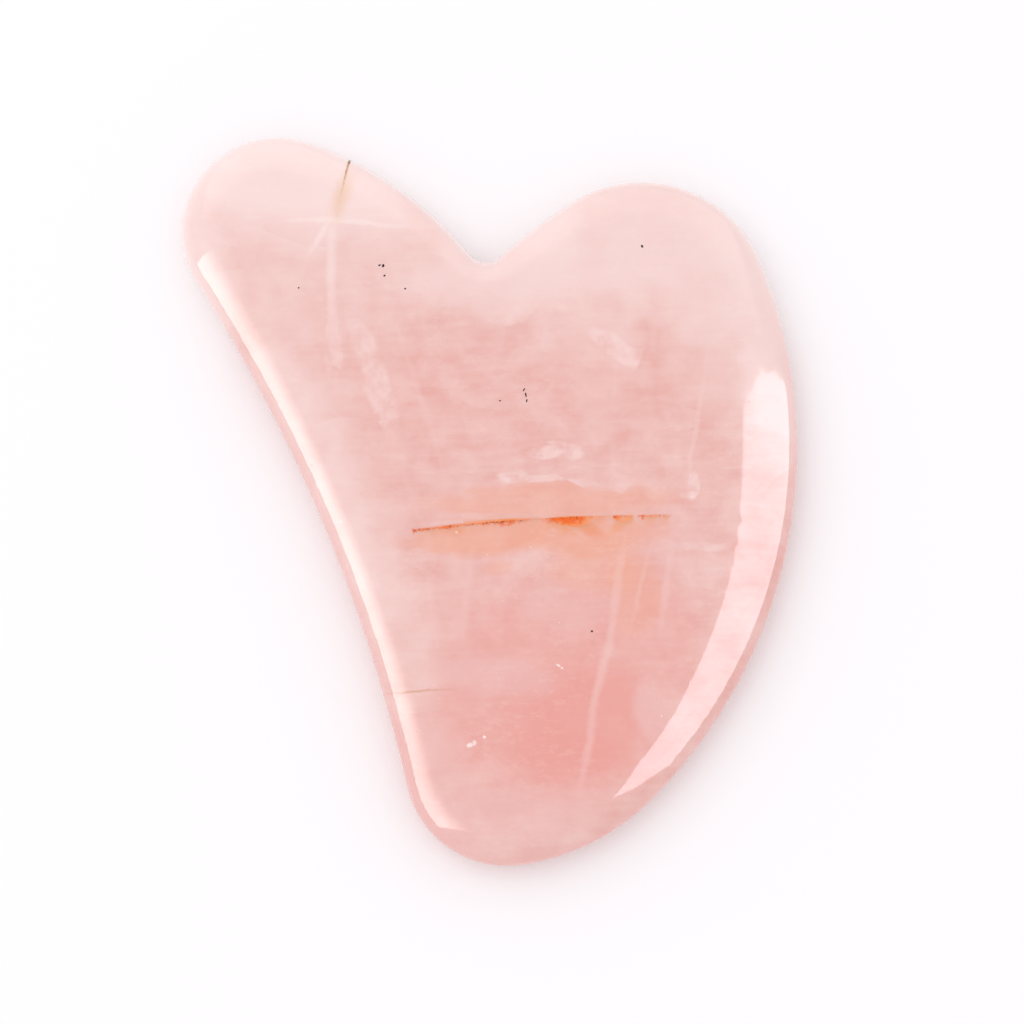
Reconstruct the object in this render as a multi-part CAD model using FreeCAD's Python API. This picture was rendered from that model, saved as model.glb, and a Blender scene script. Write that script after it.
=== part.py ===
import FreeCAD, Part

import math
import os

# A heart-shaped gua sha scraper, carved and polished from one slice of rose quartz. It lies flat:
# +Z is the plate's thickness, +Y runs from the blunt tip to the notch between the two lobes, and
# the origin is at the middle of the plate's outer box, on its underside. All sizes are millimetres.

# Overall sizes.
PLATE_LENGTH = 80.0
PLATE_WIDTH = 67.5
PLATE_THICKNESS = 6.0

# The left lobe is the small, high one. The right lobe is broad and stands a step lower.
LEFT_LOBE_RADIUS = 10.5
RIGHT_LOBE_RADIUS = 14.0
RIGHT_LOBE_INSET = 16.9
RIGHT_LOBE_STEP = 5.0

# The notch between the lobes: its depth below the left lobe's top, its place and its round bottom.
NOTCH_DEPTH = 14.0
NOTCH_X = -0.3
NOTCH_RADIUS = 2.3

# The shoulders run from the lobes down into the notch.
LEFT_SHOULDER_RADIUS = 40.0
RIGHT_SHOULDER_RADIUS = 60.0

# The blunt tip, and the fuller heel beside it on the right. The heel touches the tip this many
# degrees to the right of straight down.
TIP_RADIUS = 11.0
TIP_X = 2.0
HEEL_RADIUS = 25.0
HEEL_LEAN = 8.0

# The waist is the long hollow flank on the left, from the tip to the left lobe.
WAIST_RADIUS = 175.0

# How far the rounding reaches in from the outline, at the middle of each stretch of the edge.
# The belly is ground wide and soft, the waist is the narrow scraping edge.
EDGE_REACH = {
    "left_lobe": 4.5,
    "left_shoulder": 4.0,
    "notch": 3.0,
    "right_shoulder": 4.0,
    "right_lobe": 5.2,
    "belly": 6.4,
    "heel": 5.0,
    "tip": 3.8,
    "waist": 3.4,
}

# The edge's curves pass through points at most this far apart, and at most this much turn apart.
STATION_PITCH = 2.5
STATION_TURN = 12.0

# A rusty seam of iron oxide comes up to the top face and dips away under it towards the tip.
SEAM_DIP = 40.0
SEAM_DEPTH = 1.6
SEAM_FACETS = 4

# Each stretch of the seam: its two ends on the top face, and how far its upper and lower sides
# bow towards the notch, in flat facets.
SEAM_STRETCHES = {
    "iron_seam": ((-8.1, -4.1), (5.75, -2.65), 0.45, 0.05),
    "iron_patch": ((6.55, -2.6), (12.35, -2.4), 0.1, -1.1),
    "iron_fleck": ((13.25, -2.45), (15.9, -2.55), 0.1, -0.55),
    "iron_thread": ((16.6, -2.35), (19.9, -2.3), 0.12, -0.18),
}

# A hairline crack filled with iron oxide runs in from the rim beside the left lobe. Its ends are
# given from the lobe's centre, the outer one clear of the rim.
HAIRLINE_OUTER_END = (8.4, 9.8)
HAIRLINE_INNER_END = (6.7, 1.1)
HAIRLINE_OUTER_WIDTH = 0.30
HAIRLINE_INNER_WIDTH = 0.12
HAIRLINE_FLOOR = 2.4

# Dark mineral grains, cut flush with the top face: x, y, length, width and the way they point.
# The first group is placed from the left lobe's centre, the second from the right lobe's, the
# third from the plate's centre.
LEFT_LOBE_GRAINS = (
    (11.4, -4.35, 0.34, 0.22, 20),
    (11.8, -4.4, 0.42, 0.30, 70),
    (11.95, -5.5, 0.32, 0.22, 35),
    (14.2, -6.95, 0.26, 0.20, 0),
    (2.6, -6.85, 0.24, 0.18, 50),
)
RIGHT_LOBE_GRAINS = ((-0.05, 6.25, 0.40, 0.28, 110),)
CENTRE_GRAINS = (
    (3.9, 11.4, 0.46, 0.16, 60),
    (4.1, 10.85, 0.62, 0.18, 100),
    (4.2, 10.2, 0.46, 0.16, 75),
    (1.3, 10.2, 0.24, 0.18, 0),
    (11.2, -14.9, 0.28, 0.24, 0),
)
GRAIN_DEPTH = 0.3
GRAIN_SIDES = 5
GRAIN_TAPER = 0.45

TOP = PLATE_THICKNESS
MIDDLE = PLATE_THICKNESS / 2.0
RIGHT_EDGE = PLATE_WIDTH / 2.0
TOP_EDGE = PLATE_LENGTH / 2.0


class Round:
    """One circle of the outline: material inside it, or outside it where it is hollow."""

    def __init__(self, name, centre, radius, hollow=False):
        self.name = name
        self.centre = centre
        self.radius = radius
        self.hollow = hollow


def along(centre, degrees, distance):
    angle = math.radians(degrees)
    return (centre[0] + distance * math.cos(angle), centre[1] + distance * math.sin(angle))


def meeting_point(a, reach_a, b, reach_b, side):
    """The point reach_a from a and reach_b from b, left (+1) or right (-1) of the way a to b."""
    dx = b[0] - a[0]
    dy = b[1] - a[1]
    apart = math.hypot(dx, dy)
    forward = (apart ** 2 + reach_a ** 2 - reach_b ** 2) / (2.0 * apart)
    sideways = side * math.sqrt(reach_a ** 2 - forward ** 2)
    x = a[0] + (forward * dx - sideways * dy) / apart
    y = a[1] + (forward * dy + sideways * dx) / apart
    return (x, y)


def belly_round(lobe, heel):
    """The one circle that holds both the lobe and the heel and just reaches the plate's side."""
    # A circle of radius R that touches the side has its centre at x = RIGHT_EDGE - R. Holding a
    # smaller circle as well puts that centre on a parabola: (y - cy)^2 = slope * R - drop.
    curves = []
    for inner in (lobe, heel):
        gap = RIGHT_EDGE - inner.centre[0]
        slope = 2.0 * (gap - inner.radius)
        drop = gap ** 2 - inner.radius ** 2
        curves.append((slope, drop, inner.centre[1]))
    (slope_a, drop_a, ya), (slope_b, drop_b, yb) = curves
    # Where the two parabolas cross, R is the same on both, which leaves a quadratic in y.
    square = slope_b - slope_a
    linear = -2.0 * (slope_b * ya - slope_a * yb)
    constant = slope_b * (ya ** 2 + drop_a) - slope_a * (yb ** 2 + drop_b)
    root = math.sqrt(linear ** 2 - 4.0 * square * constant)
    crossings = [(-linear + root) / (2.0 * square), (-linear - root) / (2.0 * square)]
    y = [value for value in crossings if yb < value < ya][0]
    radius = ((y - ya) ** 2 + drop_a) / slope_a
    return Round("belly", (RIGHT_EDGE - radius, y), radius)


def outline_rounds():
    """The outline's circles, clockwise from the left lobe, each touching the next one."""
    left_x = -RIGHT_EDGE + LEFT_LOBE_RADIUS
    left_lobe = Round("left_lobe", (left_x, TOP_EDGE - LEFT_LOBE_RADIUS), LEFT_LOBE_RADIUS)

    right_y = TOP_EDGE - RIGHT_LOBE_STEP - RIGHT_LOBE_RADIUS
    right_lobe = Round("right_lobe", (RIGHT_EDGE - RIGHT_LOBE_INSET, right_y), RIGHT_LOBE_RADIUS)

    notch_y = TOP_EDGE - NOTCH_DEPTH + NOTCH_RADIUS
    notch = Round("notch", (NOTCH_X, notch_y), NOTCH_RADIUS, hollow=True)

    tip = Round("tip", (TIP_X, -TOP_EDGE + TIP_RADIUS), TIP_RADIUS)
    heel_centre = along(tip.centre, 90.0 + HEEL_LEAN, HEEL_RADIUS - TIP_RADIUS)
    heel = Round("heel", heel_centre, HEEL_RADIUS)
    belly = belly_round(right_lobe, heel)

    radius = LEFT_SHOULDER_RADIUS
    centre = meeting_point(
        left_lobe.centre, radius - left_lobe.radius, notch.centre, radius + notch.radius, -1
    )
    left_shoulder = Round("left_shoulder", centre, radius)

    radius = RIGHT_SHOULDER_RADIUS
    centre = meeting_point(
        notch.centre, radius + notch.radius, right_lobe.centre, radius - right_lobe.radius, -1
    )
    right_shoulder = Round("right_shoulder", centre, radius)

    radius = WAIST_RADIUS
    centre = meeting_point(
        tip.centre, radius + tip.radius, left_lobe.centre, radius + left_lobe.radius, 1
    )
    waist = Round("waist", centre, radius, hollow=True)

    return [left_lobe, left_shoulder, notch, right_shoulder, right_lobe, belly, heel, tip, waist]


def touch_point(a, b):
    """Where two neighbouring circles of the outline touch."""
    if a.hollow != b.hollow:
        share = a.radius / (a.radius + b.radius)
    else:
        share = a.radius / (a.radius - b.radius)
    x = a.centre[0] + (b.centre[0] - a.centre[0]) * share
    y = a.centre[1] + (b.centre[1] - a.centre[1]) * share
    return (x, y)


def direction(centre, point):
    return math.atan2(point[1] - centre[1], point[0] - centre[0])


def outline_stretches():
    """For each circle: where its arc starts, how far it turns (minus is clockwise), its length."""
    rounds = outline_rounds()
    stretches = []
    for index, this in enumerate(rounds):
        before = rounds[index - 1]
        after = rounds[(index + 1) % len(rounds)]
        start = direction(this.centre, touch_point(before, this))
        end = direction(this.centre, touch_point(this, after))
        if this.hollow:
            turn = (end - start) % (2.0 * math.pi)
        else:
            turn = -((start - end) % (2.0 * math.pi))
        stretches.append((this, start, turn, abs(turn) * this.radius))
    return stretches


def edge_reach(distance, stretches):
    """The rounding's reach at this distance along the outline, easing from stretch to stretch."""
    perimeter = sum(length for _, _, _, length in stretches)
    marks = []
    travelled = 0.0
    for this, _, _, length in stretches:
        marks.append((travelled + length / 2.0, EDGE_REACH[this.name]))
        travelled += length
    marks.append((marks[0][0] + perimeter, marks[0][1]))
    if distance < marks[0][0]:
        distance += perimeter
    for (low, reach_low), (high, reach_high) in zip(marks, marks[1:]):
        if low <= distance <= high:
            share = (distance - low) / (high - low)
            ease = (1.0 - math.cos(math.pi * share)) / 2.0
            return reach_low + (reach_high - reach_low) * ease
    raise ValueError("no stretch of the outline holds this distance")


def edge_points():
    """Points on the outline and on the flat face's border inside it, and the distances along."""
    stretches = outline_stretches()
    outer = []
    inner = []
    distances = []
    travelled = 0.0
    for this, start, turn, length in stretches:
        by_pitch = math.ceil(length / STATION_PITCH)
        by_turn = math.ceil(abs(math.degrees(turn)) / STATION_TURN)
        steps = max(by_pitch, by_turn)
        for step in range(steps):
            angle = start + turn * step / steps
            distance = travelled + length * step / steps
            reach = edge_reach(distance, stretches)
            inward = reach if this.hollow else -reach
            cos, sin = math.cos(angle), math.sin(angle)
            x, y = this.centre
            outer.append(FreeCAD.Vector(x + this.radius * cos, y + this.radius * sin, 0.0))
            inner_radius = this.radius + inward
            inner.append(FreeCAD.Vector(x + inner_radius * cos, y + inner_radius * sin, 0.0))
            distances.append(distance)
        travelled += length
    distances.append(travelled)
    return outer, inner, distances


def closed_spline(points, distances):
    curve = Part.BSplineCurve()
    curve.interpolate(Points=points, PeriodicFlag=True, Parameters=distances)
    return curve


def raised(points, height):
    return [FreeCAD.Vector(point.x, point.y, height) for point in points]


def rounded_rim():
    """The whole edge as one surface: a half ellipse from face to face, carried round the plate."""
    outer_points, inner_points, distances = edge_points()
    outer = closed_spline(outer_points, distances)
    inner = closed_spline(inner_points, distances)
    rows = [
        raised(inner.getPoles(), TOP),
        raised(outer.getPoles(), TOP),
        raised(outer.getPoles(), MIDDLE),
        raised(outer.getPoles(), 0.0),
        raised(inner.getPoles(), 0.0),
    ]
    # Two quarters of an ellipse, exact when the corner points weigh the cosine of 45 degrees.
    corner = math.sqrt(0.5)
    row_weights = [1.0, corner, 1.0, corner, 1.0]
    poles = [list(column) for column in zip(*rows)]
    weights = [list(row_weights) for _ in poles]
    surface = Part.BSplineSurface()
    surface.buildFromPolesMultsKnots(
        poles,
        outer.getMultiplicities(),
        [3, 2, 3],
        outer.getKnots(),
        [0.0, 1.0, 2.0],
        True,
        False,
        outer.Degree,
        2,
        weights,
    )
    return surface.toShape()


def plate_blank():
    """The polished plate before anything is set into it."""
    rim = rounded_rim()
    borders = [edge for edge in rim.Edges if edge.isClosed()]
    faces = [rim] + [Part.Face(Part.Wire([border])) for border in borders]
    shell = Part.makeShell(faces)
    shell.sewShape()
    solid = Part.Solid(shell)
    if solid.Volume < 0.0:
        solid.reverse()
    return solid


def bowed_points(start, end, bow):
    """Points on the top face from start to end, bowed towards the notch by this much."""
    points = []
    for step in range(SEAM_FACETS + 1):
        share = step / SEAM_FACETS
        x = start[0] + (end[0] - start[0]) * share
        y = start[1] + (end[1] - start[1]) * share
        points.append(FreeCAD.Vector(x, y + 4.0 * bow * share * (1.0 - share), TOP))
    return points


def seam_stretch(start, end, upper_bow, lower_bow):
    """A leaf-shaped sheet of iron oxide that dips under the top face."""
    upper = bowed_points(start, end, upper_bow)
    lower = bowed_points(start, end, lower_bow)
    corners = upper + lower[-2:0:-1]
    outcrop = Part.Face(Part.makePolygon(corners + corners[:1]))
    run = SEAM_DEPTH / math.tan(math.radians(SEAM_DIP))
    return outcrop.extrude(FreeCAD.Vector(0.0, -run, -SEAM_DEPTH))


def rim_hairline(blank, lobe):
    """A thin upright sheet that tapers inwards, trimmed to the plate's own surface."""
    ends = []
    for offset in (HAIRLINE_OUTER_END, HAIRLINE_INNER_END):
        ends.append((lobe.centre[0] + offset[0], lobe.centre[1] + offset[1]))
    outer, inner = ends
    across = direction(inner, outer) + math.pi / 2.0
    corners = []
    for end, width, sides in (
        (outer, HAIRLINE_OUTER_WIDTH, (1, -1)),
        (inner, HAIRLINE_INNER_WIDTH, (-1, 1)),
    ):
        for side in sides:
            x = end[0] + side * width / 2.0 * math.cos(across)
            y = end[1] + side * width / 2.0 * math.sin(across)
            corners.append(FreeCAD.Vector(x, y, HAIRLINE_FLOOR))
    footprint = Part.Face(Part.makePolygon(corners + corners[:1]))
    sheet = footprint.extrude(FreeCAD.Vector(0.0, 0.0, PLATE_THICKNESS))
    return blank.common(sheet)


def grain(x, y, length, width, heading):
    """A small crystal with flat sides, broad at the top face and narrower below it."""
    turn = math.radians(heading)
    rings = []
    for height, share in ((TOP, 1.0), (TOP - GRAIN_DEPTH, GRAIN_TAPER)):
        ring = []
        for side in range(GRAIN_SIDES):
            angle = 2.0 * math.pi * side / GRAIN_SIDES
            forward = share * length / 2.0 * math.cos(angle)
            sideways = share * width / 2.0 * math.sin(angle)
            px = x + forward * math.cos(turn) - sideways * math.sin(turn)
            py = y + forward * math.sin(turn) + sideways * math.cos(turn)
            ring.append(FreeCAD.Vector(px, py, height))
        rings.append(Part.makePolygon(ring + ring[:1]))
    return Part.makeLoft(rings, True, True)


def dark_grains(left_lobe, right_lobe):
    groups = (
        (left_lobe.centre, LEFT_LOBE_GRAINS),
        (right_lobe.centre, RIGHT_LOBE_GRAINS),
        ((0.0, 0.0), CENTRE_GRAINS),
    )
    grains = []
    for centre, group in groups:
        for x, y, length, width, heading in group:
            grains.append(grain(centre[0] + x, centre[1] + y, length, width, heading))
    return Part.makeCompound(grains)


def build_nodes():
    rounds = {this.name: this for this in outline_rounds()}
    blank = plate_blank()
    nodes = {}
    for name, (start, end, upper_bow, lower_bow) in SEAM_STRETCHES.items():
        nodes[name] = seam_stretch(start, end, upper_bow, lower_bow)
    nodes["rim_hairline"] = rim_hairline(blank, rounds["left_lobe"])
    nodes["dark_grains"] = dark_grains(rounds["left_lobe"], rounds["right_lobe"])
    nodes["quartz_plate"] = blank.cut(list(nodes.values()))
    return nodes


def main():
    os.makedirs("parts", exist_ok=True)
    for name, shape in build_nodes().items():
        shape.exportStep(f"parts/{name}.step")
        box = shape.BoundBox
        size = f"{box.XLength:.2f} x {box.YLength:.2f} x {box.ZLength:.2f} mm"
        print(f"{name}: {len(shape.Solids)} solids, {size}, {shape.Volume:.3f} mm3")


main()
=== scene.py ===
# %% [markdown]
# # A rose quartz gua sha scraper
#
# A gua sha scraper is a palm-sized plate of polished stone that is drawn over the skin. This one is
# a lopsided heart in rose quartz. Its shape comes ready-made from the CAD model, so this notebook
# is about the other half of the work: making a heart-shaped solid look like a real slice of stone.

import math

import bpy
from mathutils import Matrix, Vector


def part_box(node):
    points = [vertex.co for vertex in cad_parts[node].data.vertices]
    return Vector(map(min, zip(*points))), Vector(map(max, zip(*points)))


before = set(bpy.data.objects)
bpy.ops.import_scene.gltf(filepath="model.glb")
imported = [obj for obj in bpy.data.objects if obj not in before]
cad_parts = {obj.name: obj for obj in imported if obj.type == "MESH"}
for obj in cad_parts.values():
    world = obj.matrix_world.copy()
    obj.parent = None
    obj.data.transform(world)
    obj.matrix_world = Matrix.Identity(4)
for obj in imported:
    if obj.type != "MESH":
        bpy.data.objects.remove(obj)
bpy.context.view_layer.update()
plate_low, plate_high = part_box("quartz_plate")
MM = 0.001
PLATE_TOP = plate_high.z / MM
PLATE_LENGTH = (plate_high.y - plate_low.y) / MM
PLATE_WIDTH = (plate_high.x - plate_low.x) / MM
print(f"plate: {PLATE_WIDTH:.1f} x {PLATE_LENGTH:.1f} x {PLATE_TOP:.1f} mm")
print("pieces:", ", ".join(sorted(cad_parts)))

# %% [markdown]
# ## Two helpers
#
# Colours are easiest to compare as the hex values that a colour picker shows, but a renderer adds
# up light, so it needs them linear. One function turns the first into the second.
#
# Procedural materials are graphs of nodes. One small function adds a node, gives it its settings
# and values, and links its inputs, so that each later line reads as one step of the recipe.

# %% Helpers


def linear(hex_colour):
    """An sRGB hex colour such as "#f0b9b2" as linear red, green, blue and alpha."""
    values = []
    for start in (1, 3, 5):
        share = int(hex_colour[start:start + 2], 16) / 255
        low = share / 12.92
        high = ((share + 0.055) / 1.055) ** 2.4
        values.append(low if share <= 0.04045 else high)
    return (*values, 1.0)


def add(tree, kind, settings=None, **inputs):
    """Adds a node. An input is a value to set or a socket to link; i0, i1... name it by number."""
    node = tree.nodes.new("ShaderNode" + kind)
    for name, value in (settings or {}).items():
        setattr(node, name, value)
    for name, value in inputs.items():
        numbered = name[0] == "i" and name[1:].isdigit()
        socket = node.inputs[int(name[1:]) if numbered else name.replace("_", " ")]
        if isinstance(value, bpy.types.NodeSocket):
            tree.links.new(value, socket)
        else:
            socket.default_value = value
    return node


# %% [markdown]
# ## The table
#
# The plate lies on a plain white table. Stone that lets light through glows a little on the table
# beside it, so the table has to be a real surface that catches that light, not a flat backdrop.

# %% Table
TABLE_HALF = 3.0
TABLE_WHITE = "#fbfafb"
TABLE_ROUGHNESS = 0.9
TABLE_SHINE = 0.1


def white_table():
    corners = [(-TABLE_HALF, -TABLE_HALF), (TABLE_HALF, -TABLE_HALF)]
    corners += [(TABLE_HALF, TABLE_HALF), (-TABLE_HALF, TABLE_HALF)]
    mesh = bpy.data.meshes.new("white_table")
    mesh.from_pydata([(x, y, plate_low.z) for x, y in corners], [], [(0, 1, 2, 3)])
    table = bpy.data.objects.new("white_table", mesh)
    bpy.context.scene.collection.objects.link(table)
    material = bpy.data.materials.new("matt white paint")
    material.use_nodes = True
    paint = material.node_tree.nodes["Principled BSDF"]
    paint.inputs["Base Color"].default_value = linear(TABLE_WHITE)
    paint.inputs["Roughness"].default_value = TABLE_ROUGHNESS
    paint.inputs["Specular IOR Level"].default_value = TABLE_SHINE
    mesh.materials.append(material)


white_table()
print("table at height", round(plate_low.z / MM, 2), "mm")

# %% [markdown]
# ## Light
#
# Polished stone is judged by its reflections. Two lit cards stand beside the plate, and each draws
# one bright streak in the rounded edge on its side. The left one is a plain oblong. The right one
# is cut to four uneven corners, because a card's outline is what gives a streak its tapered shape.
# A third, fainter card behind the plate lays a soft sheen over the two lobes; more of that sheen is
# painted into the stone's colour. The cards show in reflections only, so that the general light can
# be set on its own: a white room, which lights the plate from all sides, and one broad lamp from
# the upper left for a soft shadow.

# %% Lamp, cards and room
PLATE_CENTRE = Vector((0.0, 0.0, plate_high.z))
ROOM_WHITE = "#fcfafc"
ROOM_BRIGHTNESS = 0.97


def direction(azimuth, elevation):
    """Azimuth in degrees from +X towards +Y, elevation above the table."""
    turn = math.radians(azimuth)
    rise = math.radians(elevation)
    level = math.cos(rise)
    return Vector((math.cos(turn) * level, math.sin(turn) * level, math.sin(rise)))


def aim(thing, away):
    """Turns a light or camera, which looks along its own -Z, to face back from this direction."""
    thing.rotation_euler = away.to_track_quat("Z", "Y").to_euler()


def softbox(name, azimuth, elevation, distance, width, height, radiance):
    light = bpy.data.lights.new(name, "AREA")
    light.shape = "RECTANGLE"
    light.size = width
    light.size_y = height
    # A flat light that looks equally bright all round has a power of pi x brightness x area.
    light.energy = radiance * math.pi * width * height
    lamp = bpy.data.objects.new(name, light)
    bpy.context.scene.collection.objects.link(lamp)
    away = direction(azimuth, elevation)
    lamp.location = PLATE_CENTRE + away * distance
    aim(lamp, away)
    lamp.visible_camera = False
    lamp.visible_glossy = False


def oblong(width, height):
    w, h = width / 2, height / 2
    return [(-w, -h), (w, -h), (w, h), (-w, h)]


def lit_card(name, azimuth, elevation, distance, corners, tint, radiance, fade):
    """A card lit from behind, which fades out over this length below its top edge."""
    mesh = bpy.data.meshes.new(name)
    mesh.from_pydata([(x, y, 0.0) for x, y in corners], [], [(0, 1, 2, 3)])
    top = max(y for x, y in corners)
    card = bpy.data.objects.new(name, mesh)
    bpy.context.scene.collection.objects.link(card)
    away = direction(azimuth, elevation)
    card.location = PLATE_CENTRE + away * distance
    aim(card, away)
    material = bpy.data.materials.new(name + " paper")
    material.use_nodes = True
    tree = material.node_tree
    tree.nodes.clear()
    place = add(tree, "TexCoord").outputs["Object"]
    y = add(tree, "SeparateXYZ", Vector=place).outputs["Y"]
    faded = add(tree, "MapRange", {"interpolation_type": "SMOOTHSTEP"},
                Value=y, From_Min=top, From_Max=top - fade, To_Min=0.0, To_Max=radiance)
    glow = add(tree, "Emission", Color=linear(tint), Strength=faded.outputs["Result"])
    # The faded part has to be clear, not black, or it would hide the white room behind it.
    clear = add(tree, "BsdfTransparent")
    both = add(tree, "AddShader", i0=glow.outputs[0], i1=clear.outputs[0])
    add(tree, "OutputMaterial", Surface=both.outputs[0])
    mesh.materials.append(material)
    for ray in ("camera", "diffuse", "shadow", "transmission"):
        setattr(card, "visible_" + ray, False)


softbox("broad_light", azimuth=150, elevation=55, distance=0.9, width=0.8, height=0.8,
        radiance=0.65)
lit_card("left_card", azimuth=206, elevation=42, distance=0.6, corners=oblong(0.42, 0.74),
         tint="#fff4ec", radiance=3.6, fade=0.50)
lit_card("right_card", azimuth=-8, elevation=46, distance=0.6,
         corners=[(-0.34, -0.29), (0.31, -0.44), (0.14, 0.40), (-0.25, 0.18)],
         tint="#f3f2fb", radiance=3.5, fade=0.02)
lit_card("back_card", azimuth=90, elevation=38, distance=0.6, corners=oblong(1.2, 0.84),
         tint="#fff8f5", radiance=0.5, fade=0.30)

room = bpy.data.worlds.new("white_room")
room.use_nodes = True
room.node_tree.nodes["Background"].inputs["Color"].default_value = linear(ROOM_WHITE)
room.node_tree.nodes["Background"].inputs["Strength"].default_value = ROOM_BRIGHTNESS
bpy.context.scene.world = room

# %% [markdown]
# ## Camera
#
# The camera looks almost straight down from the tip's side, as someone does who bends over a table
# to look at the stone. The lens is a moderate tele, so that the outline keeps its true shape.

# %% Camera
LENS = 120.0
SENSOR = 36.0
FRAME_SIZE = 111.6 * MM
CAMERA_ELEVATION = 83.0
CAMERA_TARGET = Vector((2.6, -1.6, PLATE_TOP / 2)) * MM

eye = bpy.data.cameras.new("camera")
eye.lens = LENS
eye.sensor_width = SENSOR
camera = bpy.data.objects.new("camera", eye)
bpy.context.scene.collection.objects.link(camera)
back_off = direction(-90, CAMERA_ELEVATION)
camera.location = CAMERA_TARGET + back_off * (FRAME_SIZE * LENS / SENSOR)
aim(camera, back_off)
bpy.context.scene.camera = camera
bpy.context.scene.view_settings.view_transform = "Standard"
print("camera", round((camera.location - CAMERA_TARGET).length / MM), "mm from the plate")

# %% [markdown]
# ## Rose quartz
#
# Rose quartz is never one pink. Clouds of fine fibres make it paler or deeper, old cracks that
# healed long ago run through it as milky veils, and where water once carried iron in there is a
# rusty seam. The saw cuts across all of that, and the polish shows it like a window.
#
# All of it is drawn in the stone's own space, in millimetres, so a cloud carries on from the top
# round the edge, and shows again underneath, smaller and fainter.
#
# Three steps bend the ruler that the clouds are drawn with. Slow noise makes their outlines
# wander. A Voronoi pattern of wide, flat cells shifts whole blocks a little, each its own way,
# which leaves the small steps that healed cracks give to a cloud's border. Fine noise frays the
# rest.

# %% The stone's own ruler
BLOCK_WIDTH = 9.0
BLOCK_HEIGHT = 3.2
BLOCK_SHIFT = 1.0
WANDER_SIZE = 9.0
WANDER = 2.6
CRACK_WANDER = 1.0
FRAY_SIZE = 1.1
FRAY = 0.5


def centred(tree, colour, reach):
    """Turns a texture's 0 to 1 colour into a shift of up to half this reach each way."""
    moved = add(tree, "VectorMath", {"operation": "SUBTRACT"}, i0=colour, i1=(0.5, 0.5, 0.5))
    scaled = add(tree, "VectorMath", {"operation": "SCALE"}, i0=moved.outputs[0], Scale=reach)
    return scaled.outputs[0]


def stone_ruler(tree):
    """The place in the stone in millimetres: plain, frayed for cracks, and bent for clouds."""
    here = add(tree, "TexCoord").outputs["Object"]
    plain = add(tree, "VectorMath", {"operation": "SCALE"}, i0=here, Scale=1 / MM).outputs[0]
    wander = add(tree, "TexNoise", Vector=plain, Scale=1 / WANDER_SIZE, Detail=2.0)
    fray = add(tree, "TexNoise", Vector=plain, Scale=1 / FRAY_SIZE, Detail=2.0)
    flat = (1 / BLOCK_WIDTH, 1 / BLOCK_HEIGHT, 1 / BLOCK_WIDTH)
    block_place = add(tree, "VectorMath", {"operation": "MULTIPLY"}, i0=plain, i1=flat)
    blocks = add(tree, "TexVoronoi", Vector=block_place.outputs[0], Scale=1.0, Randomness=0.8)

    def shifted(place, colour, reach):
        shift = centred(tree, colour, reach)
        return add(tree, "VectorMath", {"operation": "ADD"}, i0=place, i1=shift).outputs[0]

    frayed = shifted(plain, fray.outputs["Color"], FRAY)
    wavy = shifted(frayed, wander.outputs["Color"], WANDER)
    bent = shifted(wavy, blocks.outputs["Color"], BLOCK_SHIFT)
    cracked = shifted(frayed, wander.outputs["Color"], CRACK_WANDER)
    return plain, cracked, bent


# %% [markdown]
# A cloud is the simplest mark: a soft-edged lens of another colour somewhere in the stone. A veil
# is the same mark, long and thin. Each is placed one by one, in millimetres from the plate's
# middle:
# where it is, how long and wide, how it leans, its colour and how strongly it shows.
#
# The lens is a spherical gradient on a stretched ruler: 1 in the middle and 0 at its rim. Working
# out the distance with vector maths looks the same, but with some seventy marks the shader then
# ran out of the stack space that Cycles allows, and a shader that doesn't fit renders black.

# %% Clouds and veils
CLOUD_DEPTH = 7.0
# Places are read from a view that leans a little, as the camera's does. It shows the top face too
# far from the tip against the outline, which is widest lower down, so all marks slide back by this.
LEAN_SHIFT = -0.85


def cloud(tree, ruler, under, colour, x, y, length, width, lean, strength,
          softness, torn=1.0):
    """Lays a lens-shaped cloud of this colour over the colour under it; torn makes it patchy."""
    reach = 1 + softness
    local = add(tree, "Mapping", {"vector_type": "TEXTURE"}, Vector=ruler,
                Location=(x, y + LEAN_SHIFT, PLATE_TOP), Rotation=(0.0, 0.0, math.radians(lean)),
                Scale=(reach * length / 2, reach * width / 2, reach * CLOUD_DEPTH))
    lens = add(tree, "TexGradient", {"gradient_type": "SPHERICAL"}, Vector=local.outputs[0])
    share = add(tree, "MapRange", {"interpolation_type": "SMOOTHSTEP"}, Value=lens.outputs["Fac"],
                From_Min=0.0, From_Max=2 * softness / reach, To_Min=0.0, To_Max=strength)
    patchy = add(tree, "Math", {"operation": "MULTIPLY"}, i0=share.outputs["Result"], i1=torn)
    laid = add(tree, "Mix", {"data_type": "RGBA"}, i0=patchy.outputs[0], i6=under,
               i7=linear(colour))
    return laid.outputs[2]


# The clouds here and in PALE_CLOUDS that lie over the two lobes are partly paler stone and partly
# painted sheen: the soft glow of the card behind the plate, painted in as colour.
# x, y, length, width, lean in degrees, strength
WHITE_AND_SHEEN_CLOUDS = (
    (-32.0, 25.0, 7.0, 22.0, 14, 0.50),
    (5.0, 32.0, 8.0, 12.0, 40, 0.45),
    (-24.0, 36.5, 34.0, 13.0, -12, 0.70),
    (14.0, 30.0, 42.0, 17.0, 4, 0.34),
    (31.0, 18.0, 9.0, 34.0, 12, 0.45),
    (-18.5, 4.0, 6.0, 34.0, 22, 0.25),
)
PALE_CLOUDS = (
    (-22.0, 28.0, 28.0, 18.0, -20, 0.40),
    (15.0, 30.0, 44.0, 16.0, 4, 0.55),
    (28.0, 20.0, 12.0, 26.0, 14, 0.40),
    (0.0, 24.0, 18.0, 7.0, 0, 0.55),
    (-18.5, 4.0, 10.0, 34.0, 22, 0.40),
    (-10.5, -14.0, 8.0, 22.0, 14, 0.35),
    (24.0, 19.5, 6.0, 4.6, 10, 0.42),
    (21.0, 20.6, 4.0, 4.4, 0, 0.35),
    (10.0, 18.0, 12.0, 6.0, 0, 0.30),
)
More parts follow.
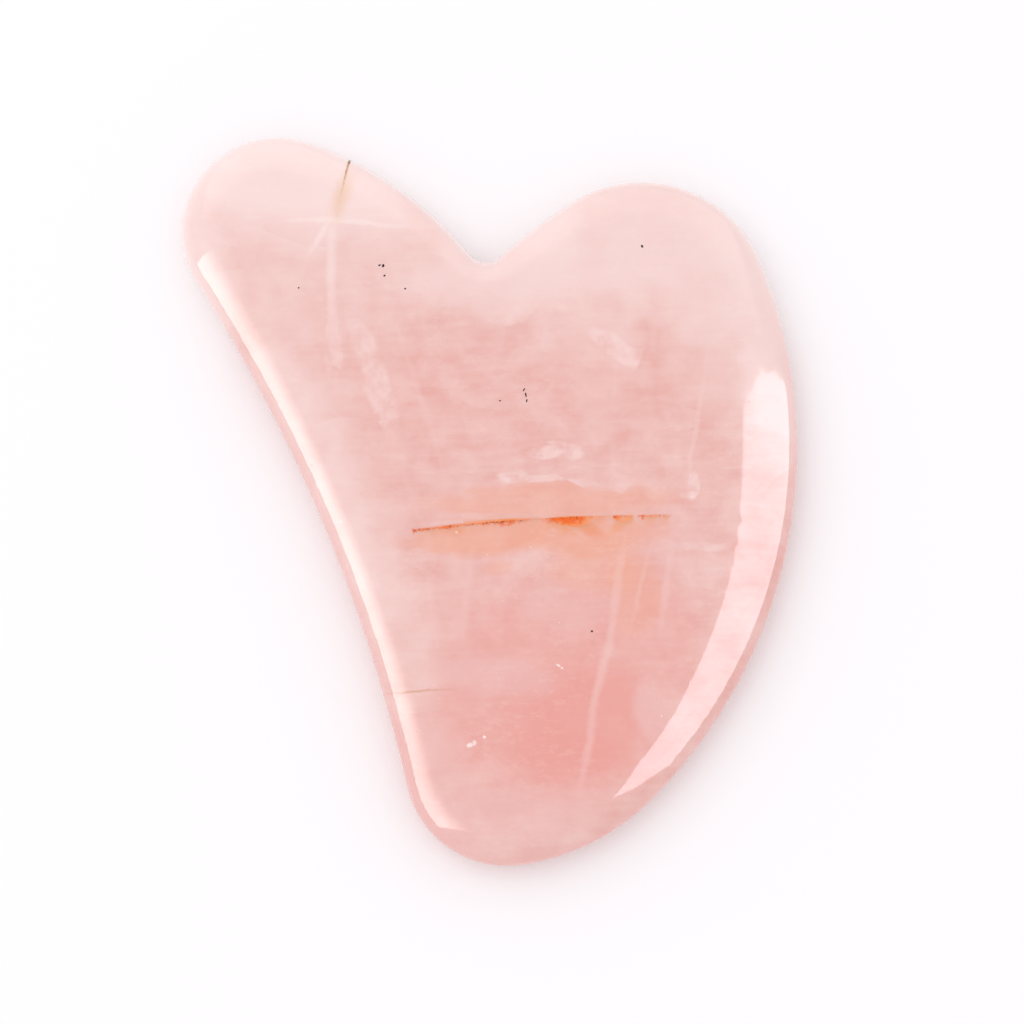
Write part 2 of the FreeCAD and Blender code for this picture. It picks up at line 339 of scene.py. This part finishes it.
SHARP_PALE_CLOUDS = (
    (2.6, 2.9, 3.2, 1.5, 0, 0.45),
    (-12.6, 14.0, 14.0, 2.8, -72, 0.42),
    (-17.0, 18.0, 9.0, 1.4, 88, 0.30),
    (6.4, 5.5, 3.8, 1.5, 0, 0.50),
    (8.6, 5.0, 3.0, 1.8, -8, 0.45),
    (22.2, 2.0, 3.2, 1.1, 82, 0.50),
    (21.7, 1.0, 1.8, 0.9, 10, 0.45),
    (6.5, 2.3, 10.5, 1.0, 2, 0.40),
    (23.5, -5.0, 5.0, 1.6, 6, 0.35),
    (21.8, 8.6, 3.0, 1.2, 20, 0.30),
    (13.6, 17.0, 6.0, 2.4, -35, 0.45),
    (4.0, 20.5, 9.0, 2.0, 4, 0.30),
)
DEEP_CLOUDS = (
    (2.0, 12.0, 30.0, 12.0, 6, 0.10),
    (10.0, -23.8, 16.0, 12.0, -12, 0.72),
    (9.0, -29.0, 13.0, 9.0, 0, 0.45),
    (17.0, -15.0, 12.0, 16.0, 10, 0.40),
    (4.0, -22.0, 20.0, 20.0, 0, 0.50),
    (5.0, -12.0, 20.0, 9.0, 0, 0.20),
)
PEACH_CLOUDS = (
    (6.5, 0.0, 27.0, 3.6, 2, 0.45),
    (16.0, -9.5, 4.6, 10.0, 0, 0.34),
    (12.0, -7.4, 9.0, 6.0, 0, 0.38),
    (0.9, -6.9, 3.2, 1.8, 0, 0.30),
    (-1.0, -4.0, 15.0, 3.4, 3, 0.62),
    (11.5, -3.6, 17.0, 4.0, 0, 0.62),
)
LAVENDER_CLOUDS = (
    (0.4, -19.0, 13.5, 5.0, -4, 0.50),
    (17.6, -22.4, 4.2, 5.8, 8, 0.60),
    (8.5, -11.0, 9.0, 5.0, 0, 0.30),
    (20.5, -4.5, 9.0, 7.0, 0, 0.25),
    (-7.0, -30.0, 8.0, 14.0, 26, 0.45),
    (2.0, -34.5, 18.0, 6.0, 4, 0.50),
)
# Most veils stand almost upright with the same slight lean, as cracks opened by one push do.
VEILS = (
    (13.9, -10.4, 10.0, 0.8, 82, 0.34),
    (12.4, -18.0, 7.5, 0.9, 76, 0.40),
    (10.9, -25.6, 10.0, 0.8, 81, 0.36),
    (19.2, -9.4, 8.0, 0.7, 82, 0.28),
    (16.6, -9.0, 7.0, 0.5, 76, 0.22),
    (22.6, 8.0, 13.0, 0.5, 82, 0.40),
    (-2.3, -9.7, 8.0, 0.9, 84, 0.30),
    (-5.9, -11.8, 7.0, 0.9, 96, 0.26),
    (-11.0, 8.0, 22.0, 0.8, -70, 0.20),
    (-7.4, 11.5, 14.0, 0.7, -72, 0.22),
    (12.0, 16.0, 12.0, 0.9, -32, 0.20),
    (18.5, 21.5, 8.0, 0.8, 80, 0.22),
    (-16.9, 19.5, 12.0, 0.8, 92, 0.24),
)
STAR_RAYS = (
    (-17.1, 26.4, 8.6, 0.9, 90, 0.34),
    (-13.4, 30.7, 7.8, 0.5, -3, 0.36),
    (-19.7, 31.0, 5.0, 0.5, 3, 0.32),
    (-18.3, 29.4, 3.8, 0.6, 60, 0.40),
)
# Tan stain round the hairline crack in the left lobe, a fine stained crack low on the left flank,
# and two orange tails that trail from the seam's patch and fleck.
STAINS = (
    ("#f2c6a8", (-16.0, 33.6, 5.0, 1.7, 71, 0.60)),
    ("#d8a086", (-7.6, -20.5, 6.0, 0.26, 0, 0.75)),
    ("#ec8a55", (11.0, -2.9, 3.0, 1.2, -25, 0.60)),
    ("#ee9a68", (14.4, -2.5, 2.8, 1.0, 39, 0.55)),
)
# Tiny chips under the polish: two clusters towards the tip, and one speck by the seam.
GLINTS = (
    (-1.9, -26.4, 0.7, 0.4, 20, 0.70),
    (-1.4, -26.1, 0.4, 0.5, 0, 0.55),
    (-0.3, -25.4, 0.4, 0.3, 0, 0.75),
    (7.7, -17.6, 0.5, 0.25, -30, 0.70),
    (8.1, -17.9, 0.3, 0.25, 0, 0.60),
    (-3.5, -3.4, 0.3, 0.3, 0, 0.60),
)

# %% [markdown]
# Under the clouds the pink itself is not even either. Rose quartz is full of fine parallel fibres
# and growth lines. Here they run across the plate as thin bands, a fraction of a millimetre high
# and several millimetres long: noise drawn on a ruler that is stretched one way.

# %% The even pink and its bands
DARK_MOTTLE = "#e6aca3"
LIGHT_MOTTLE = "#edc1ba"
DEEP_PINK = "#e89b91"
PALE_PINK = "#f3d6d1"
PEACH = "#eda283"
MILK = "#f5d7d3"
WHITE = "#fdebe7"
LAVENDER = "#ebbab6"
VEIL = "#f2cbc6"
CHIP = "#fff6f0"
BUBBLE = "#fff4f0"
CRAZE = "#fbe4de"
BAND_LENGTH = 7.0
BAND_HEIGHT = 0.7
BAND_LEAN = 2.5
MOTTLE_SIZE = 3.2


def banded_pink(tree, plain, bent):
    mottle = add(tree, "TexNoise", Vector=bent, Scale=1 / MOTTLE_SIZE, Detail=5.0)
    even = add(tree, "MapRange", Value=mottle.outputs["Fac"], From_Min=0.32, From_Max=0.68)
    pink = add(tree, "Mix", {"data_type": "RGBA"}, i0=even.outputs["Result"],
               i6=linear(DARK_MOTTLE), i7=linear(LIGHT_MOTTLE)).outputs[2]
    stretched = add(tree, "Mapping", {"vector_type": "TEXTURE"}, Vector=plain,
                    Rotation=(0.0, 0.0, math.radians(BAND_LEAN)),
                    Scale=(BAND_LENGTH, BAND_HEIGHT, BAND_LENGTH))
    bands = add(tree, "TexNoise", Vector=stretched.outputs[0], Scale=1.0, Detail=3.0)
    band = add(tree, "MapRange", Value=bands.outputs["Fac"], From_Min=0.42, From_Max=0.75,
               To_Min=0.0, To_Max=0.20)
    return add(tree, "Mix", {"data_type": "RGBA"}, i0=band.outputs["Result"], i6=pink,
               i7=linear(PALE_PINK)).outputs[2]


# %% [markdown]
# The seam is where a crack filled with rust. It meets the polished face along one crisp line, and
# from there it dips into the stone towards the tip, so the stain is sharp on one side and fades on
# the other. Its line on the face is nearly straight, with a slow bend: a parabola. The CAD model
# says where each iron piece starts and ends, and a ramp along the seam says how rusty it is there.

# %% The iron seam
SEAM_FLAT_X = 20.0
SEAM_FLAT_Y = -2.25
SEAM_BEND = 0.0020
STAIN_REACH = 1.6
STAIN_STRENGTH = 0.8
RUST_REACH = 0.9
CRUMB_REACH = 0.34
TEARS_PER_MM = 0.8
GRITS_PER_MM = 2.6
CRUMBS_PER_MM = 3.8
SEAM_MARGIN = 0.2
SEAM_FLOOR = PLATE_TOP - 1.9
SEAM_FADE = 1.0
RUST = "#ee6824"
RUST_HAZE = "#ef9258"
RUST_BROWN = "#561a08"
# How far along the piece, how much rust, how far the rust bleeds under the face.
RUSTY_STRETCHES = {
    "iron_seam": (
        (0.00, 1.00, 0.40),
        (0.04, 0.60, 0.60),
        (0.10, 0.75, 0.70),
        (0.15, 0.40, 0.75),
        (0.20, 0.50, 0.90),
        (0.27, 0.80, 0.95),
        (0.35, 0.50, 0.80),
        (0.50, 0.55, 0.60),
        (0.65, 0.75, 0.55),
        (0.70, 0.95, 0.50),
        (0.78, 0.90, 0.45),
        (0.85, 0.60, 0.40),
        (0.98, 0.35, 0.20),
    ),
    "iron_patch": (
        (0.08, 0.90, 1.10),
        (0.30, 1.00, 1.15),
        (0.60, 0.95, 1.20),
        (0.73, 0.50, 1.00),
        (0.95, 0.15, 0.70),
    ),
    "iron_fleck": (
        (0.00, 0.05, 0.30),
        (0.20, 0.95, 0.90),
        (0.50, 0.40, 0.90),
        (0.85, 0.30, 0.80),
        (1.00, 0.05, 0.10),
    ),
    "iron_thread": (
        (0.03, 1.00, 0.60),
        (0.18, 0.35, 0.80),
        (0.85, 0.35, 0.70),
    ),
}


def stretch_ramp(tree, x, column):
    """A ramp along the whole seam through one column of the rusty stretches."""
    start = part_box("iron_seam")[0].x / MM - SEAM_MARGIN
    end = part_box("iron_thread")[1].x / MM + SEAM_MARGIN
    along = add(tree, "MapRange", Value=x, From_Min=start, From_Max=end)
    ramp = add(tree, "ValToRGB", Fac=along.outputs["Result"])
    stops = ramp.color_ramp.elements
    stops[0].color = (0.0, 0.0, 0.0, 1.0)
    stops[1].color = (0.0, 0.0, 0.0, 1.0)
    for piece, rows in RUSTY_STRETCHES.items():
        left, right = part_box(piece)[0].x / MM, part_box(piece)[1].x / MM
        for row in rows:
            place = left + row[0] * (right - left)
            stop = stops.new((place - start) / (end - start))
            stop.color = (row[column], row[column], row[column], 1.0)
    return ramp.outputs["Color"]


def times(tree, a, b):
    return add(tree, "Math", {"operation": "MULTIPLY"}, i0=a, i1=b).outputs[0]


def iron_seam(tree, plain, under, ore):
    """Lays the seam's haze, stain and grains over the stone's colour. Ore makes it richer."""
    parts = add(tree, "SeparateXYZ", Vector=plain)
    x, y, z = parts.outputs
    away = add(tree, "Math", {"operation": "SUBTRACT"}, i0=x, i1=SEAM_FLAT_X).outputs[0]
    bend = times(tree, times(tree, away, away), SEAM_BEND)
    line = add(tree, "Math", {"operation": "SUBTRACT"}, i0=SEAM_FLAT_Y, i1=bend).outputs[0]
    below = add(tree, "Math", {"operation": "SUBTRACT"}, i0=line, i1=y).outputs[0]
    near_top = add(tree, "MapRange", Value=z, From_Min=SEAM_FLOOR, From_Max=SEAM_FLOOR + SEAM_FADE)
    near_top = near_top.outputs["Result"]
    rust = times(tree, stretch_ramp(tree, x, 1), near_top)
    bleed = times(tree, stretch_ramp(tree, x, 2), near_top)

    # The stain: sharp along the line, then fading with distance below it, torn by noise.
    torn = add(tree, "TexNoise", Vector=plain, Scale=TEARS_PER_MM, Detail=1.5, Roughness=0.5)
    tear = add(tree, "MapRange", Value=torn.outputs["Fac"], From_Min=0.3, From_Max=0.7,
               To_Min=0.75, To_Max=1.35)
    reach = times(tree, bleed, tear.outputs["Result"])
    depth = add(tree, "Math", {"operation": "DIVIDE"}, i0=below, i1=STAIN_REACH).outputs[0]
    left_over = add(tree, "Math", {"operation": "SUBTRACT"}, i0=reach, i1=depth).outputs[0]
    fade = add(tree, "MapRange", {"interpolation_type": "SMOOTHSTEP"}, Value=left_over,
               From_Min=-0.1, From_Max=1.15).outputs["Result"]
    edge = add(tree, "MapRange", Value=below, From_Min=-0.05, From_Max=0.08).outputs["Result"]
    stain = times(tree, fade, edge)
    stain = times(tree, stain, STAIN_STRENGTH)
    if ore:
        stain = add(tree, "Math", {"operation": "MAXIMUM"}, i0=stain, i1=rust).outputs[0]
    hazed = add(tree, "Mix", {"data_type": "RGBA"}, i0=stain, i6=under,
                i7=linear(RUST_HAZE)).outputs[2]

    # Solid rust close to the line, in ragged grains.
    grit = add(tree, "TexNoise", Vector=plain, Scale=GRITS_PER_MM, Detail=4.0, Roughness=0.65)
    solid = add(tree, "MapRange", Value=grit.outputs["Fac"], From_Min=0.25, From_Max=0.75,
                To_Min=-0.5, To_Max=0.5).outputs["Result"]
    thick = add(tree, "Math", {"operation": "DIVIDE"}, i0=below, i1=RUST_REACH).outputs[0]
    spare = add(tree, "Math", {"operation": "SUBTRACT"}, i0=rust, i1=thick).outputs[0]
    spare = add(tree, "Math", {"operation": "ADD"}, i0=spare, i1=solid).outputs[0]
    spare = add(tree, "Math", {"operation": "ADD"}, i0=spare, i1=ore).outputs[0]
    grains = add(tree, "MapRange", {"interpolation_type": "SMOOTHSTEP"}, Value=spare,
                 From_Min=0.15, From_Max=0.70).outputs["Result"]
    grains = times(tree, times(tree, grains, edge), rust)
    rusty = add(tree, "Mix", {"data_type": "RGBA"}, i0=grains, i6=hazed, i7=linear(RUST)).outputs[2]

    # Brown crumbs of ore that hug the line itself.
    crumb = add(tree, "TexNoise", Vector=plain, Scale=CRUMBS_PER_MM, Detail=2.0)
    crumbs = add(tree, "MapRange", Value=crumb.outputs["Fac"], From_Min=0.55, From_Max=0.63)
    hug = add(tree, "MapRange", Value=below, From_Min=CRUMB_REACH, From_Max=0.12).outputs["Result"]
    brown = times(tree, times(tree, crumbs.outputs["Result"], hug), times(tree, edge, rust))
    return add(tree, "Mix", {"data_type": "RGBA"}, i0=brown, i6=rusty,
               i7=linear(RUST_BROWN)).outputs[2]


# %% [markdown]
# Polishing opens tiny gas bubbles in the stone, which catch the light as white pinpricks. A Voronoi
# pattern gives every cell one point. Fewer than half of the cells, picked by their random colour,
# get a bubble, many of them a faint one, and the rest stay clear.

# %% White pinpricks
BUBBLE_SPACING = 2.6
BUBBLE_SIZE = 0.11


def pinpricks(tree, plain, under):
    cells = add(tree, "TexVoronoi", Vector=plain, Scale=1 / BUBBLE_SPACING, Randomness=1.0)
    near = add(tree, "MapRange", Value=cells.outputs["Distance"],
               From_Min=BUBBLE_SIZE / BUBBLE_SPACING, From_Max=0.4 * BUBBLE_SIZE / BUBBLE_SPACING)
    pick = add(tree, "SeparateXYZ", Vector=cells.outputs["Color"]).outputs["X"]
    chosen = add(tree, "MapRange", Value=pick, From_Min=0.55, From_Max=0.95, To_Max=0.8)
    share = times(tree, near.outputs["Result"], chosen.outputs["Result"])
    return add(tree, "Mix", {"data_type": "RGBA"}, i0=share, i6=under,
               i7=linear(BUBBLE)).outputs[2]


# %% [markdown]
# Where the stone is crazed with fine cracks it looks crumbly: clusters of small pale flecks, wider
# than they are high. Fine noise gives the flecks, and slow noise says where the clusters are.

# %% Crazed patches
FLECK_WIDTH = 1.1
FLECK_HEIGHT = 0.55
CLUSTER_SIZE = 8.0


def crazing(tree, plain, under):
    flat = add(tree, "Mapping", {"vector_type": "TEXTURE"}, Vector=plain,
               Scale=(FLECK_WIDTH, FLECK_HEIGHT, FLECK_WIDTH)).outputs[0]
    fine = add(tree, "TexNoise", Vector=flat, Scale=1.0, Detail=4.0, Roughness=0.65)
    flecks = add(tree, "MapRange", Value=fine.outputs["Fac"], From_Min=0.50, From_Max=0.66)
    slow = add(tree, "TexNoise", Vector=plain, Scale=1 / CLUSTER_SIZE, Detail=2.0)
    where = add(tree, "MapRange", Value=slow.outputs["Fac"], From_Min=0.46, From_Max=0.62,
                To_Min=0.03, To_Max=0.12)
    share = times(tree, flecks.outputs["Result"], where.outputs["Result"])
    return add(tree, "Mix", {"data_type": "RGBA"}, i0=share, i6=under,
               i7=linear(CRAZE)).outputs[2]


# %% [markdown]
# Now the colour can be put together, from the even pink outwards: bands, then clouds, crazing,
# veils, chips, stains, the seam and the pinpricks. Last come painted shade and sheen on the steep
# flank, where less light reaches and one sees through more stone: towards the tip the pink is
# painted deeper, and round the lobes, which are milkier stone, the edge is painted whiter as a
# sheen.

# %% The stone's colour
SOFT = 0.45
MEDIUM = 0.36
SHARP = 0.24
THREAD = 0.8
CRISP = 0.4
SHRED_SIZE = 1.9
# How much the surface faces up: 1 on the flat face, less down the edge.
EDGE_BEGINS = 0.85
EDGE_IS_STEEP = 0.30
# The painted flank shade and rim sheen come in over these stretches along the plate, in
# millimetres.
FLANK_FROM_Y = 26.0
FLANK_TO_Y = 8.0
FLANK_SHADE_SHARE = 0.42
SHEEN_FROM_Y = 14.0
SHEEN_TO_Y = 28.0
SHEEN_SHARE = 0.75


def stone_colour(tree, ore=0.0):
    plain, cracked, bent = stone_ruler(tree)
    colour = banded_pink(tree, plain, bent)
    shreds = add(tree, "TexNoise", Vector=plain, Scale=1 / SHRED_SIZE, Detail=4.0, Roughness=0.6)
    torn = add(tree, "MapRange", Value=shreds.outputs["Fac"], From_Min=0.38, From_Max=0.60,
               To_Min=0.15, To_Max=1.3).outputs["Result"]
    layers = ((WHITE, WHITE_AND_SHEEN_CLOUDS, SOFT, 1.0), (PALE_PINK, PALE_CLOUDS, SOFT, 1.0),
              (DEEP_PINK, DEEP_CLOUDS, SOFT, 1.0), (PEACH, PEACH_CLOUDS, MEDIUM, 1.0),
              (LAVENDER, LAVENDER_CLOUDS, MEDIUM, 1.0), (MILK, SHARP_PALE_CLOUDS, SHARP, torn))
    for hue, marks, softness, patches in layers:
        for mark in marks:
            colour = cloud(tree, bent, colour, hue, *mark, softness=softness, torn=patches)
    colour = crazing(tree, plain, colour)
    for mark in VEILS:
        colour = cloud(tree, cracked, colour, VEIL, *mark, softness=THREAD)
    for mark in STAR_RAYS:
        colour = cloud(tree, cracked, colour, WHITE, *mark, softness=THREAD)
    for mark in GLINTS:
        colour = cloud(tree, cracked, colour, CHIP, *mark, softness=CRISP)
    for hue, mark in STAINS:
        colour = cloud(tree, cracked, colour, hue, *mark, softness=THREAD)
    colour = iron_seam(tree, plain, colour, ore)
    colour = pinpricks(tree, plain, colour)
    upright = add(tree, "SeparateXYZ", Vector=add(tree, "NewGeometry").outputs["Normal"])
    steep = add(tree, "MapRange", Value=upright.outputs["Z"],
                From_Min=EDGE_BEGINS, From_Max=EDGE_IS_STEEP)
    y = add(tree, "SeparateXYZ", Vector=plain).outputs["Y"]
    # Painted shade: towards the tip the steep edge is mixed towards a deeper pink.
    painted_flank_shade = add(tree, "MapRange", Value=y, From_Min=FLANK_FROM_Y, From_Max=FLANK_TO_Y,
               To_Min=0.0, To_Max=FLANK_SHADE_SHARE)
    flank = times(tree, steep.outputs["Result"], painted_flank_shade.outputs["Result"])
    colour = add(tree, "Mix", {"data_type": "RGBA"}, i0=flank, i6=colour,
                 i7=linear(DEEP_PINK)).outputs[2]
    # Painted sheen: round the lobes the steep edge is mixed towards white.
    painted_rim_sheen = add(tree, "MapRange", Value=y, From_Min=SHEEN_FROM_Y, From_Max=SHEEN_TO_Y,
                To_Min=0.0, To_Max=SHEEN_SHARE)
    rim = times(tree, steep.outputs["Result"], painted_rim_sheen.outputs["Result"])
    colour = add(tree, "Mix", {"data_type": "RGBA"}, i0=rim, i6=colour,
                 i7=linear(WHITE)).outputs[2]
    return colour, plain


# %% [markdown]
# The finish is what makes it stone and not paint. Quartz has an IOR of 1.54 and polishes to a near
# mirror, so the roughness is low. Light also goes some millimetres into it and comes out again
# softened, red light furthest: that is subsurface scattering. Only a small share is used, because
# with more of it the closed pockets round the minerals show as dark rims. The polish is not
# perfect: it dips very slightly where the wheel dwelt, and it is pricked with pits.

# %% Rose quartz
QUARTZ_IOR = 1.54
POLISH = 0.07
GLOW_DEPTH = 1.2 * MM
# How far red, green and blue light go, as shares of that depth.
GLOW_SPREAD = (1.0, 0.62, 0.55)
GLOW_SHARE = 0.15
DIP_SIZE = 7.0
PIT_SPACING = 1.7
PIT_SIZE = 0.22
PIT_DEPTH = 0.03 * MM
DIP_DEPTH = 0.012 * MM
SMEAR_SIZE = 4.0
GLOSS_COAT = 0.6
GLOSS_COAT_ROUGHNESS = 0.03


def polish_relief(tree, plain):
    dips = add(tree, "TexNoise", Vector=plain, Scale=1 / DIP_SIZE, Detail=1.0)
    soft = add(tree, "Bump", Strength=1.0, Distance=DIP_DEPTH, Height=dips.outputs["Fac"])
    cells = add(tree, "TexVoronoi", Vector=plain, Scale=1 / PIT_SPACING, Randomness=1.0)
    pit = add(tree, "MapRange", {"interpolation_type": "SMOOTHSTEP"},
              Value=cells.outputs["Distance"], From_Min=0.0, From_Max=PIT_SIZE / PIT_SPACING)
    pick = add(tree, "SeparateXYZ", Vector=cells.outputs["Color"]).outputs["Y"]
    few = add(tree, "MapRange", Value=pick, From_Min=0.5, From_Max=1.0).outputs["Result"]
    height = add(tree, "Mix", {"data_type": "FLOAT"}, i0=few, i2=1.0, i3=pit.outputs["Result"])
    return add(tree, "Bump", Strength=1.0, Distance=PIT_DEPTH, Height=height.outputs[0],
               Normal=soft.outputs["Normal"]).outputs["Normal"]


def rose_quartz():
    material = bpy.data.materials.new("polished rose quartz")
    material.use_nodes = True
    tree = material.node_tree
    finish = tree.nodes["Principled BSDF"]
    colour, plain = stone_colour(tree)
    tree.links.new(colour, finish.inputs["Base Color"])
    smear = add(tree, "TexNoise", Vector=plain, Scale=1 / SMEAR_SIZE, Detail=3.0)
    polish = add(tree, "MapRange", Value=smear.outputs["Fac"], From_Min=0.3, From_Max=0.7,
                 To_Min=POLISH * 0.7, To_Max=POLISH * 1.5)
    tree.links.new(polish.outputs["Result"], finish.inputs["Roughness"])
    tree.links.new(polish_relief(tree, plain), finish.inputs["Normal"])
    finish.inputs["IOR"].default_value = QUARTZ_IOR
    finish.inputs["Subsurface Weight"].default_value = GLOW_SHARE
    finish.inputs["Subsurface Radius"].default_value = GLOW_SPREAD
    finish.inputs["Subsurface Scale"].default_value = GLOW_DEPTH
    finish.inputs["Coat Weight"].default_value = GLOSS_COAT
    finish.inputs["Coat Roughness"].default_value = GLOSS_COAT_ROUGHNESS
    return material


# %% [markdown]
# Iron oxide fills the seam: the same rust that stains the stone round it, but solid, so it lets no
# light in. It gets the stone's own colour recipe, which already knows where the rust lies, and so
# the seam's soft side runs on from the piece into the plate. A polish leaves it less glossy.

# %% Iron oxide
OXIDE_IOR = 1.9
OXIDE_ROUGHNESS = 0.28
OXIDE_SHINE = 0.1
ORE_RICHNESS = 0.18


def iron_oxide():
    material = bpy.data.materials.new("iron oxide")
    material.use_nodes = True
    tree = material.node_tree
    finish = tree.nodes["Principled BSDF"]
    colour, plain = stone_colour(tree, ore=ORE_RICHNESS)
    tree.links.new(colour, finish.inputs["Base Color"])
    finish.inputs["IOR"].default_value = OXIDE_IOR
    finish.inputs["Specular IOR Level"].default_value = OXIDE_SHINE
    finish.inputs["Roughness"].default_value = OXIDE_ROUGHNESS
    return material


# %% [markdown]
# The hairline crack in the left lobe took up a little rusty water: brown at the rim, where it was
# drawn in, and fading to tan as it goes deeper. The dark grains are tiny crystals of black ore.
# Both are mottled finely, because an even colour on a small mark looks like ink.

# %% Stained crack and dark mineral
CRACK_TOP_Y = 37.6
CRACK_END_Y = 31.0
CRACK_ROUGHNESS = 0.12
CRACK_GRITS_PER_MM = 2.2
CRACK_DEEP = "#f3cdb8"
CRACK_TAN = "#edc4a4"
CRACK_BROWN = "#d2a37c"
CRACK_RIM = "#8a5a38"
GRAIN_BLACK = "#140708"
GRAIN_BROWN = "#341a18"
GRAIN_IOR = 2.4
GRAIN_SHINE = 0.05
GRAIN_ROUGHNESS = 0.3
GRAIN_SPECKS_PER_MM = 6.0


def stained_crack():
    material = bpy.data.materials.new("stained crack")
    material.use_nodes = True
    tree = material.node_tree
    finish = tree.nodes["Principled BSDF"]
    plain = stone_ruler(tree)[0]
    y = add(tree, "SeparateXYZ", Vector=plain).outputs["Y"]
    grit = add(tree, "TexNoise", Vector=plain, Scale=CRACK_GRITS_PER_MM, Detail=3.0).outputs["Fac"]
    torn = add(tree, "MapRange", Value=grit, From_Min=0.3, From_Max=0.7, To_Min=-1.2, To_Max=1.2)
    moved = add(tree, "Math", {"operation": "ADD"}, i0=y, i1=torn.outputs["Result"]).outputs[0]
    depth = add(tree, "MapRange", Value=moved, From_Min=CRACK_END_Y, From_Max=CRACK_TOP_Y)
    colour = add(tree, "ValToRGB", Fac=depth.outputs["Result"])
    stops = colour.color_ramp.elements
    stops[0].color = linear(CRACK_DEEP)
    stops[1].color = linear(CRACK_RIM)
    stops.new(0.45).color = linear(CRACK_TAN)
    stops.new(0.80).color = linear(CRACK_BROWN)
    tree.links.new(colour.outputs["Color"], finish.inputs["Base Color"])
    finish.inputs["IOR"].default_value = QUARTZ_IOR
    finish.inputs["Roughness"].default_value = CRACK_ROUGHNESS
    return material


def dark_mineral():
    material = bpy.data.materials.new("dark mineral")
    material.use_nodes = True
    tree = material.node_tree
    finish = tree.nodes["Principled BSDF"]
    plain = stone_ruler(tree)[0]
    grit = add(tree, "TexNoise", Vector=plain, Scale=GRAIN_SPECKS_PER_MM, Detail=2.0).outputs["Fac"]
    colour = add(tree, "Mix", {"data_type": "RGBA"}, i0=grit, i6=linear(GRAIN_BLACK),
                 i7=linear(GRAIN_BROWN)).outputs[2]
    tree.links.new(colour, finish.inputs["Base Color"])
    finish.inputs["IOR"].default_value = GRAIN_IOR
    finish.inputs["Specular IOR Level"].default_value = GRAIN_SHINE
    finish.inputs["Roughness"].default_value = GRAIN_ROUGHNESS
    return material


# %% [markdown]
# Every piece gets one material. The four iron pieces share one, because they are stretches of the
# same seam and its recipe knows where along the seam it is.

# %% Dress the pieces
oxide = iron_oxide()
DRESS = {
    "quartz_plate": rose_quartz(),
    "iron_seam": oxide,
    "iron_patch": oxide,
    "iron_fleck": oxide,
    "iron_thread": oxide,
    "rim_hairline": stained_crack(),
    "dark_grains": dark_mineral(),
}
for name, material in DRESS.items():
    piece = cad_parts[name]
    piece.data.materials.clear()
    piece.data.materials.append(material)
print("dressed", len(DRESS), "pieces")
